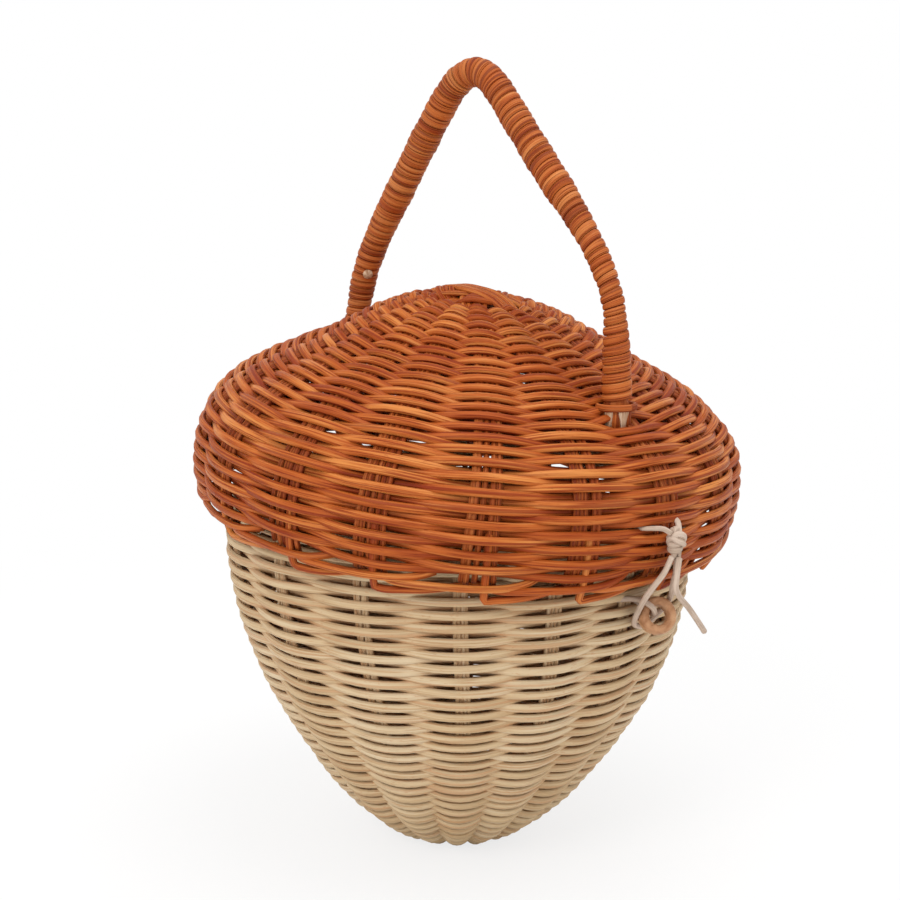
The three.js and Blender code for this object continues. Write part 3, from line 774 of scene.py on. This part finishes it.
# Rows give way at the front, where the lash and the handle's foot go through the lid, and round
# the bead's tie: the distance there, stakes aside, width in stakes, how far, and how soon it ends
LASH_S = lid_wall.end - 17.8
FOOT_S = lid_s_at(78.8)
TIE_S = min((i * body_wall.end / 400 for i in range(121, 401)),
            key=lambda s: abs(body_wall.at(s)[1] - 113.6))
LID_PARTINGS = [(LASH_S, 0.08, 0.5, 1.25, 7), (FOOT_S, 0.09, 0.32, 2.3, 9)]
BODY_PARTINGS = [(TIE_S, 0, 0.4, 0.9, 6)]

# Where new lengths are spliced in, in stakes passed since the centre
LID_JOINS = [61.2, 97.8, 129.3, 171.0, 214.6, 243.1, 289.7, 318.2, 347.0, 371.4, 402.9, 425.2]
BODY_JOINS = [70.3, 120.1, 168.9, 224.4, 262.0, 310.6, 349.2, 388.7, 421.5, 455.1]

# The two formulas say how tall a row is and how far it swings out
body_rows = weave(body_wall, "body_rows", NATURAL, 0.0, body_wall.end - 1.0,
                  lambda s: 3.22 + 0.5 * bump_at(s - 28, 40),
                  lambda s: 2.0 + 0.8 * bump_at(s - 32, 30),
                  BODY_PARTINGS, BODY_JOINS)
lid_rows = weave(lid_wall, "lid_rows", STAINED, 9.0, lid_wall.end - 1.5,
                 lambda s: 3.2,
                 lambda s: 1.85,
                 LID_PARTINGS, LID_JOINS)

# The stakes' rods: four in the body, evenly close, and five in the lid, which fan out
body_rods = Tubes()
for number in range(body_wall.stakes):
    stake_rods(body_wall, 4, body_wall.end + 1.5, body_rods, 1.6,
               lambda lane, share: lane * (1.2 + 0.1 * min(share * 2, 1))
               + (0.12 if lane > 0 else -0.12) * share, number, tall=1.25)
body_stakes = body_rods.build("body_stakes", NATURAL)

lid_rods = Tubes()
LID_SPREAD = [1.0, 1.25, 0.9, 1.1, 1.3, 0.95, 1.2, 1.05, 0.9, 1.0, 1.2, 0.95, 1.1, 1.25, 1.3, 1.0,
              1.35, 1.05]
for number, fan in enumerate(LID_SPREAD):
    stake_rods(lid_wall, 5, lid_wall.end + 0.8, lid_rods, 2.3,
               lambda lane, share, fan=fan: lane * (1.55 + 0.65 * fan * share ** 2)
               + (0.7 * fan if lane > 0.5 else -0.4) * share ** 2, number)
lid_stakes = lid_rods.build("lid_stakes", STAINED_STAKE)

LID_BORDER_STEPS = [
    (0.0, -17.6, 0.0), (0.0, -10, 0.2), (0.0, -4, 0.8), (0.0, 0.4, 1.5), (0.0, 3.6, 1.6),
    (0.0, 5.8, 1.4), (0.006, 6.7, 1.3), (0.03, 7.1, 1.2), (0.12, 7.0, 1.0), (0.28, 6.5, 0.8),
    (0.5, 5.6, 0.3), (0.75, 4.5, -1.2), (0.96, 3.6, -2.6), (1.06, 3.2, -2.2),
    (1.16, 2.8, 0.4), (1.26, 2.5, 1.7), (1.6, 1.9, 2.2), (2.0, 1.2, 2.6), (2.3, 0.6, 2.0),
    (2.5, -0.4, 0.2), (2.62, -1.2, -1.8),
]
BODY_BORDER_STEPS = [
    (0.0, -20, 0.0), (0.0, -10, 0.0), (0.0, -2, 0.1), (0.0, 3.4, 0.3), (0.0, 6.0, 0.35),
    (0.006, 6.9, 0.4), (0.03, 7.2, 0.45), (0.12, 7.0, 0.45), (0.28, 6.6, 0.4), (0.5, 5.6, 0.0),
    (0.75, 4.4, -1.2), (0.96, 3.4, -2.4), (1.06, 3.0, -2.0), (1.16, 2.6, 0.4), (1.26, 2.3, 1.6),
    (1.6, 1.9, 2.1), (2.0, 1.6, 2.5), (2.3, 1.3, 1.8), (2.5, 1.0, 0.0), (2.62, 0.8, -1.6),
]
lid_border = border(lid_wall, "lid_border", STAINED, 2.8, LID_BORDER_STEPS,
                    lambda stake: 1.6 if stake % 2 else 3.0)
body_border = border(body_wall, "body_border", NATURAL, 2.4, BODY_BORDER_STEPS, lambda stake: 1.4)


# The crosses that the stakes start from

ARM_STEPS = 12
CROSS_LANES = 5


def cross(wall, name, material, bands, rod, spread, flat_to):
    """Bands of rods crossing at the centre, each given by its direction and height. Both ends of a
    band grow narrower and turn down under the first rows."""
    tubes = Tubes()
    inner_r, inner_z = wall.at(0)[:2]
    for degrees, lift in bands:
        ahead = polar(radians(degrees), 1)
        across = Vector((-ahead.y, ahead.x, 0))
        for k in range(CROSS_LANES):
            lane = (k - (CROSS_LANES - 1) / 2) * rod * 0.98
            points = []
            for i in range(-ARM_STEPS, ARM_STEPS + 1):
                along = i * spread / ARM_STEPS
                reach = abs(along)
                arch = max(0.0, 1 - (reach / flat_to) ** 3)
                squeeze = 1.0 if reach < 10 else 1 - 0.35 * min(1, (reach - 10) / 14)
                flat = ahead * along + across * (lane * squeeze)
                r = flat.length
                z = wall.at(r - inner_r)[1] if r > inner_r else inner_z
                height = z + lift * arch - 0.25 * (1 - arch)
                points.append(wall.settle(Vector((flat.x, flat.y, height))))
            centres = Line(points, 200).even(2.0)
            # Depth 1.0 gives the lower side of each band painted shade
            tubes.add(centres, [wall.up] * len(centres), rod / 2, rod / 2 * 0.9, depth=1.0,
                      tone=chance.uniform(0.2, 0.9))
    return tubes.build(name, material)


lid_cross = cross(lid_wall, "lid_cross", STAINED,
                  [(2, 0.5), (46, 1.8), (-44, 3.2), (-88, 4.6)], 2.2, 32, 19)
body_cross = cross(body_wall, "body_cross", NATURAL,
                   [(0, 0.2), (90, 1.6), (45, 3.0), (135, 4.2)], 1.8, 30, 15)

# The lid's first turns run over and under the arms of its cross: directions and heights there
CROSS_TURNS = [(46, 3.6), (91, 2.2), (136, 4.3), (181, -1.2), (226, 3.6)]
FIRST_DEGREES = CROSS_TURNS[0][0]
FIRST_REACH = 7.6
FIRST_PITCH = 2.5
FIRST_STEPS = 96
STEPS_PER_TURN = 36


def first_turns():
    centres = []
    for i in range(FIRST_STEPS):
        turned = 360 / STEPS_PER_TURN * i
        place = FIRST_DEGREES + turned % 180
        reach = FIRST_REACH + FIRST_PITCH * i / STEPS_PER_TURN
        for (a, low), (b, high) in zip(CROSS_TURNS, CROSS_TURNS[1:]):
            if a <= place <= b:
                share = (1 - cos(pi * (place - a) / (b - a))) / 2
                height = low + (high - low) * share
        height *= 1 - (reach / 24) ** 3
        centres.append(lid_wall.settle(polar(
            radians(FIRST_DEGREES + turned), reach, lid_wall.at(0)[1] + height)))
    return one_tube("lid_first_turns", STAINED, centres, [lid_wall.up] * FIRST_STEPS, 1.35, 1.1,
                    power=0.85)


put(first_turns(), "lid", "stained_rattan")

# Each CAD stake runs through the centre, and so stands for two of the wall's
for part, body, slot, wall, rows, stakes, others in (
        ("body", "basket_body", "natural_rattan", body_wall, body_rows, body_stakes,
         (body_border, body_cross)),
        ("lid", "lid", "stained_rattan", lid_wall, lid_rows, lid_stakes,
         (lid_border, lid_cross))):
    for strand, piece in zip("ab", rows):
        bands = ("centre", "inner", "middle", "rim")
        put(piece, body, slot, *[f"{part}_weaver_{band}_{strand}" for band in bands])
    put(stakes, body, slot, *[f"{part}_stake_{i + 1}" for i in range(wall.stakes // 2)])
    for piece in others:
        put(piece, body, slot)

# The handle: a bent rod wound with cane, its line given as distance to the front and height

HANDLE_LINE = [
    (77.2, 57.0), (77, 61.5), (76.2, 69), (74.6, 81), (71.6, 94), (64, 107), (51.8, 120.3),
    (35.3, 135.2), (18.7, 150.7), (7.1, 161.5), (1, 165.6), (-5.2, 166.9), (-12.2, 164.6),
    (-18.1, 159.5), (-29.4, 143.8), (-44, 121), (-56.6, 100.6), (-64.2, 84), (-68.2, 65.5),
    (-69.2, 60.4),
]
# How thick it is with its winding: distance from the front foot and radius
HANDLE_SIZES = [
    (-1, 6.4), (3.0, 6.1), (3.8, 5.4), (12, 5.2), (22, 4.85), (32, 4.2), (50, 4.25), (62, 4.6),
    (72, 5.1), (85, 5.6), (100, 5.8), (125, 5.55), (144, 5.5), (160, 5.6), (180, 5.8),
    (195, 6.0), (215, 5.9), (230, 5.65), (245, 5.4), (258, 5.15), (280, 5.1),
]
CANE_THICK = 1.7
TURN_STEPS = 20
ACROSS = Vector((1, 0, 0))
handle_line = Line([(0, -front, z) for front, z in HANDLE_LINE], 900)


def handle_radius(s):
    return read_table(HANDLE_SIZES, s)


def handle_ring(s, turn, radius):
    """A point round the handle and its direction. Turn 0 is on the outside of the bend."""
    outward = ACROSS.cross(handle_line.along(s)).normalized()
    radial = outward * cos(turn) + ACROSS * sin(turn)
    return handle_line.at(s) + radial * radius, radial


def on_lid(rings):
    """Points and directions of the handle's rings, as they stand on the lid."""
    turned = LID_PLACE.to_3x3()
    return [LID_PLACE @ at for at, _ in rings], [turned @ radial for _, radial in rings]


WOUND_FROM = 2.5
WOUND_TO = handle_line.length - 1.0
TURN_WIDTHS = (2.3, 4.1)


def wound_cane():
    """One unbroken strip of cane, each turn beside the last."""
    generator = random.Random(21)
    edges = [WOUND_FROM]
    while edges[-1] < WOUND_TO - 1.5:
        edges.append(edges[-1] + generator.uniform(*TURN_WIDTHS))
    edges[-1] = WOUND_TO
    last = len(edges) - 2
    middles = [(a + b) / 2 for a, b in zip(edges, edges[1:])]
    broad = [(b - a) / 2 for a, b in zip(edges, edges[1:])]
    proud = [generator.uniform(-0.3, 0.14) for _ in middles]
    shade = [generator.uniform(0.2, 0.8) for _ in middles]
    rings, halves, tones, depths = [], [], [], []
    for i in range(last * TURN_STEPS + 1):
        place = i / TURN_STEPS
        n = min(int(place), last - 1)
        s, half, stands, tone = (eased(values[n], values[n + 1], place - n)
                                 for values in (middles, broad, proud, shade))
        radius = handle_radius(s) - CANE_THICK / 2 + stands
        turn = tau * place + pi
        near, _ = handle_ring(s - half, turn, radius)
        far, _ = handle_ring(s + half, turn, radius)
        rings.append(handle_ring(s, turn, radius))
        halves.append((far - near).length / 2 * 0.97)
        tones.append(tone)
        # The depth gives every turn painted shade, more on turns that sit lower
        depths.append(0.3 + 2 * stands)
    return one_tube("handle_winding", CANE, *on_lid(rings), halves, CANE_THICK / 2, sides=12,
                    power=0.85, tone=tones, depth=depths)


put(wound_cane(), "lid", "cane", "handle_wrap_main", "handle_wrap_foot")

BAND_RADIUS = 6.5
BAND_STEPS = 40


def foot_band():
    """The last turn stands out round the front foot."""
    turns = [tau * k / BAND_STEPS for k in range(BAND_STEPS)]
    rings = [handle_ring(0.9 + 0.5 * cos(turn), turn, BAND_RADIUS) for turn in turns]
    return one_tube("handle_foot_band", CANE, *on_lid(rings), 1.3, 0.9, sides=12, closed=True,
                    power=0.85, tone=0.4)


put(foot_band(), "lid", "cane")

ROD_STEP = 2.5


def handle_rod():
    """The bent rod inside the winding."""
    places = [i * ROD_STEP for i in range(int(handle_line.length / ROD_STEP) + 1)]
    rings = [handle_ring(s, 0, 0) for s in places]
    sizes = [handle_radius(s) - CANE_THICK for s in places]
    return one_tube("handle_rod", STAINED_STAKE, *on_lid(rings), sizes, sizes, sides=12)


put(handle_rod(), "lid", "cane", "handle_core")


# The rod's split ends, pushed down between the rows beside a stake

def split_end(tubes, stake, reach, steps, width):
    """Two tongues at a radius. The steps give distances from there and places off the wall."""
    s0 = lid_s_at(reach)
    angle = lid_wall.angle(stake)
    for side in (-1, 1):
        centres, ups = [], []
        for along, off in steps:
            s = s0 + along
            radius, height = lid_wall.at(s)[:2]
            turned = angle + side * 2.7 / radius
            back = LID_PLACE.to_3x3() @ (PULL_SIDE * read_table(LID_PULLS, height))
            centres.append(lid_wall.point(turned, s, off) - back)
            ups.append(lid_wall.normal(turned, s))
        line = Line(centres, 60).even(1.5)
        tubes.add(line, [ups[1]] * len(line), width, 0.8, power=0.6)


def cut_end(tubes, degrees, radius, widths, drops):
    """A flat end that comes straight down out of the front foot."""
    at, radial = handle_ring(0, radians(degrees), radius)
    rings = [(at - handle_line.along(0) * drop, radial) for drop in drops]
    tubes.add(*on_lid(rings), widths, 0.7, power=0.6)


PALE_DROPS = [-1.5, 0.5, 3.0, 7.0]
DARK_DROPS = [-1.5, 2.0, 7.0]
FRONT_TONGUES = 80.6
BACK_TONGUES = 70.2
INTO_WALL = [(1.8, 1.0), (5, 0.6), (12, 0.3), (24, 0.0)]
ABOVE_WALL = [(-6, 6.6), (-3.0, 5.2), (-0.4, 4.0), (2.0, 2.6)]

pale = Tubes()
cut_end(pale, -73, 5.7, [1.6, 1.6, 1.4, 1.1], PALE_DROPS)
cut_end(pale, -20, 5.7, [2.1, 2.1, 1.3, 0.8], PALE_DROPS)
put(pale.build("handle_front_cut", PALE_WOOD), "lid", "cane")
dark = Tubes()
for degrees, width in ((-116, 1.3), (-46, 1.7), (12, 1.4), (100, 1.6), (180, 1.6)):
    cut_end(dark, degrees, 5.0, width, DARK_DROPS)
split_end(dark, 0, FRONT_TONGUES, INTO_WALL, 1.5)
split_end(dark, LID_BACK, BACK_TONGUES, INTO_WALL, 1.5)
split_end(dark, LID_BACK, BACK_TONGUES, ABOVE_WALL, 2.0)
put(dark.build("handle_ends", STAINED_STAKE), "lid", "cane")

# The peg: a short dowel through the back leg, its ends a little domed

PEG_S = handle_line.length - 25.8
PEG_TURN = radians(90 - 60)
PEG_RADIUS = 1.95
PEG_PROUD = 0.55
# How far in from each end it has which share of its radius
PEG_ENDS = ((0, 0.62), (0.25, 0.88), (0.7, 1))


def peg():
    half = handle_radius(PEG_S) + PEG_PROUD
    end = [(half - inward, PEG_RADIUS * share) for inward, share in PEG_ENDS]
    profile = [(-place, size) for place, size in end]
    profile += [(-1, PEG_RADIUS), (1, PEG_RADIUS), *reversed(end)]
    rings = [(handle_ring(PEG_S, PEG_TURN, place)[0], Vector((0, 0, 1))) for place, _ in profile]
    sizes = [size for _, size in profile]
    return one_tube("handle_peg_wood", PALE_WOOD, *on_lid(rings), sizes, sizes, sides=20)


put(peg(), "lid", "peg_wood", "handle_peg")


# The hinge: cane wound three times round the border rods of the body and of the lid

HINGE_TURNS = 3
HINGE_PITCH = 1.45
HINGE_RADIUS = 3.0
HALF_TURN_STEPS = 9


def hinge_tie(side):
    far = lid_wall.point(lid_wall.angle(LID_BACK - side / 2), lid_wall.end + 5.2)
    near = body_wall.point(body_wall.angle(BODY_BACK - side / 2), body_wall.end + 4.8)
    far.x = near.x = (far.x + near.x) / 2
    tubes = Tubes()
    for n in range(HINGE_TURNS):
        radius = HINGE_RADIUS + 0.25 * n
        centres, ups = [], []
        for centre, start in ((far, -pi / 2), (near, pi / 2)):
            for i in range(HALF_TURN_STEPS + 1):
                turn = start + pi * i / HALF_TURN_STEPS
                radial = Vector((0, cos(turn), sin(turn)))
                skew = (n - 1) * HINGE_PITCH + 0.5 * sin(turn + n)
                centres.append(centre + Vector((skew, 0, 0)) + radial * radius)
                ups.append(radial)
        tubes.add(centres, ups, 0.78, 0.4, closed=True, power=0.7)
    return tubes


for side, word in ((-1, "left"), (1, "right")):
    cane = hinge_tie(side).build(f"hinge_cane_{word}", CANE)
    put(cane, "basket_body", "cane", f"hinge_tie_{word}")

# The clasp: a lash through the lid, knotted outside it

LASH_ROUTE = [
    (-3.0, -110.3, 141.6), (-5.6, -109.2, 143.3), (-8.4, -107.4, 143.6), (-10.6, -104.4, 143.4),
    (-10.0, -100.9, 143.3), (-5.5, -98.9, 143.4), (1.0, -98.9, 143.8), (3.6, -101.4, 144.6),
    (4.0, -105.2, 144.9), (3.2, -108.0, 144.0), (1.4, -110.2, 141.2), (0.6, -111.2, 138.6),
]
KNOT = Vector((-0.2, -110.0, 137.9))


def lash():
    """The cord is pulled thin where it goes into the lid."""
    points = Line(LASH_ROUTE).even(1.0)
    sizes = [CORD / 2 * (1 - 0.28 * bump_at(i / len(points) - 0.3, 0.25))
             for i in range(len(points))]
    return one_tube("clasp_lash_cord", COTTON, points, steady_ups(points), sizes, sizes, sides=12)


COIL_STEPS = 16
COIL_PITCH = 2.05
COIL_RADIUS = 2.05


def knot():
    """Turns of cord round the hanging strands, with a lump above where they cross."""
    made = Tubes()
    coil = []
    for i in range(44):
        turn = tau * i / COIL_STEPS + 0.6
        height = -3.1 + COIL_PITCH * i / COIL_STEPS + 0.5 * sin(turn + 0.5)
        wide = COIL_RADIUS + 0.2 * sin(i * 0.9)
        coil.append((cos(turn) * wide, sin(turn) * wide * 0.85, height))
    over = [
        (-2.6, -0.6, 2.2), (-1.4, -2.4, 3.4), (0.9, -2.9, 2.8), (2.9, -1.7, 1.0), (3.5, 0.2, -0.6),
        (2.5, 1.6, -1.8), (0.4, 2.2, -1.2), (-1.9, 1.4, 0.6), (-2.7, -0.5, 2.0), (-1.9, -2.2, 1.2),
        (0.2, -3.0, 0.4), (2.2, -2.2, -0.6),
    ]
    over = [(x * 0.82, y * 0.9, z) for x, y, z in over]
    for size, route in (
            (1.08, coil), (1.12, over),
            (1.0, [(-1.1, -0.4, -5.0), (-0.9, -0.6, -1.0), (-0.5, -0.2, 3.4), (0.4, 0.2, 5.2)]),
            (1.0, [(1.0, -0.6, -5.4), (0.9, -0.8, -1.0), (0.7, -0.2, 3.0), (1.6, 0.4, 4.6)]),
            (1.0, [(0.2, 0.9, -4.2), (0.0, 0.8, 0.0), (-0.4, 0.8, 3.6), (-0.6, 0.6, 4.8)])):
        line = Line([KNOT + Vector(p) for p in route]).even(0.8)
        made.add(line, steady_ups(line), CORD / 2 * size, CORD / 2 * size * 0.92, sides=12)
    return made.build("clasp_knot_cord", COTTON)


put(lash(), "lid", "cord", "clasp_lash")
put(knot(), "lid", "cord", "clasp_knot")

# The bead: a thick wooden ring, its hole turned to the left and a little up

BEAD_TURN = Matrix.Rotation(radians(-30), 3, "Z") @ Matrix.Rotation(radians(-22), 3, "X")
BEAD_RADIUS = 6.75
BEAD_HOLE = 3.3
BEAD_HALF = 3.05
BEAD_STEPS = 56
SECTION_STEPS = 28


def bead():
    section = []
    for i in range(SECTION_STEPS):
        turn = tau * i / SECTION_STEPS
        c, s = squarer(cos(turn), 0.7), squarer(sin(turn), 0.75)
        reach = (BEAD_RADIUS + BEAD_HOLE) / 2 + c * (BEAD_RADIUS - BEAD_HOLE) / 2
        section.append((reach, s * BEAD_HALF))
    points, faces = [], []
    for j in range(BEAD_STEPS):
        turn = tau * j / BEAD_STEPS
        for r, y in section:
            spot = BEAD_TURN @ Vector((cos(turn) * r, y, sin(turn) * r))
            points.append(BEAD_CENTRE + spot)
        here, there = j * SECTION_STEPS, (j + 1) % BEAD_STEPS * SECTION_STEPS
        for i in range(SECTION_STEPS):
            k = (i + 1) % SECTION_STEPS
            faces.append((here + i, here + k, there + k, there + i))
    return smooth_piece("bead_turned", points, faces, BEAD_WOOD)


put(bead(), "bead", "bead_wood", "bead")

# The tie that holds the bead: out of the body at the left of a stake, through the bead from its
# front, and in again at the right of the stake

THROUGH_BEAD = [
    (-8.8, -0.9, 6.4), (-5.6, -3.9, 4.9), (-2.6, -3.95, 2.6), (-1.2, -0.9, 0.8), (-1.5, 2.7, 1.5),
    (-3.2, 4.9, 4.4),
]


def by_front_stake(turn, along, off):
    return body_wall.point(body_wall.angle(0) + turn, TIE_S + along, off)


TIE_ROUTE = [
    by_front_stake(-0.066, 0.0, -2.6), by_front_stake(-0.062, 0.2, 0.0),
    *[BEAD_CENTRE + BEAD_TURN @ Vector(p) for p in THROUGH_BEAD],
    by_front_stake(0.028, -0.2, -1.2), by_front_stake(0.006, 0.7, -3.0),
]
tie = cord_piece("bead_tie_cord", TIE_ROUTE, None, "bead_tie")
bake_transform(tie)

# Floor and light. The camera sees the floor as white, apart from a share of its real shade, which
# fades out between two distances from the basket

FLOOR_SIDE = 3
FLOOR_SHADE = 0.22
SHADE_FROM = 0.16
SHADE_TO = 0.5
WHITE = (1, 1, 1, 1)
FLOOR_PAINT = (0.9, 0.9, 0.9, 1)


def show_camera(tree, share, real, shown, output):
    """Mixes into the real surface or light, by a share, what only the camera sees."""
    mix = tree.nodes.new("ShaderNodeMixShader")
    for source, target in ((share, mix.inputs["Fac"]), (real, mix.inputs[1]),
                           (shown, mix.inputs[2]), (mix.outputs["Shader"], output)):
        tree.links.new(source, target)


def add_floor():
    mesh = bpy.data.meshes.new("floor")
    corners = [(-1, -1), (1, -1), (1, 1), (-1, 1)]
    mesh.from_pydata([(x * FLOOR_SIDE, y * FLOOR_SIDE, 0) for x, y in corners], [], [(0, 1, 2, 3)])
    add_object("floor", mesh)
    made = Recipe("floor_paint", 0.9)
    fill(made.shader, {"Base Color": FLOOR_PAINT, "Specular IOR Level": 0.1})
    rays = made.node("LightPath")
    away = made.node("VectorMath", operation="LENGTH")
    made.link(made.node("TexCoord").outputs["Object"], away.inputs[0])
    shade = made.spread(away.outputs["Value"], SHADE_FROM, SHADE_TO, 1 - FLOOR_SHADE, 1.0)
    glow = made.node("Emission")
    fill(glow, {"Color": WHITE})
    show_camera(made.tree, made.maths("MULTIPLY", rays.outputs["Is Camera Ray"], shade),
                made.shader.outputs["BSDF"], glow.outputs["Emission"],
                made.tree.nodes["Material Output"].inputs["Surface"])
    mesh.materials.append(made.material)


def surroundings(strength):
    """An even white light from all round, against a backdrop that the camera sees as white."""
    world = bpy.data.worlds.new("studio")
    world.use_nodes = True
    tree = world.node_tree
    real, shown = tree.nodes["Background"], tree.nodes.new("ShaderNodeBackground")
    for node, power in ((real, strength), (shown, 1.0)):
        fill(node, {"Color": WHITE, "Strength": power})
    rays = tree.nodes.new("ShaderNodeLightPath")
    show_camera(tree, rays.outputs["Is Camera Ray"], real.outputs["Background"],
                shown.outputs["Background"], tree.nodes["World Output"].inputs["Surface"])
    bpy.context.scene.world = world


LIT = Vector((0, 0, 0.15))


def area_light(name, place, size, power):
    data = bpy.data.lights.new(name, "AREA")
    data.shape = "DISK"
    data.size = size
    data.energy = power
    light = add_object(name, data)
    light.location = place
    light.rotation_euler = (LIT - Vector(place)).to_track_quat("-Z", "Y").to_euler()


add_floor()
surroundings(0.86)
area_light("key", (-1.7, -0.55, 1.45), 0.9, 13)
area_light("top", (0.0, -0.4, 1.7), 1.0, 9)

bpy.context.scene.view_settings.view_transform = "Standard"
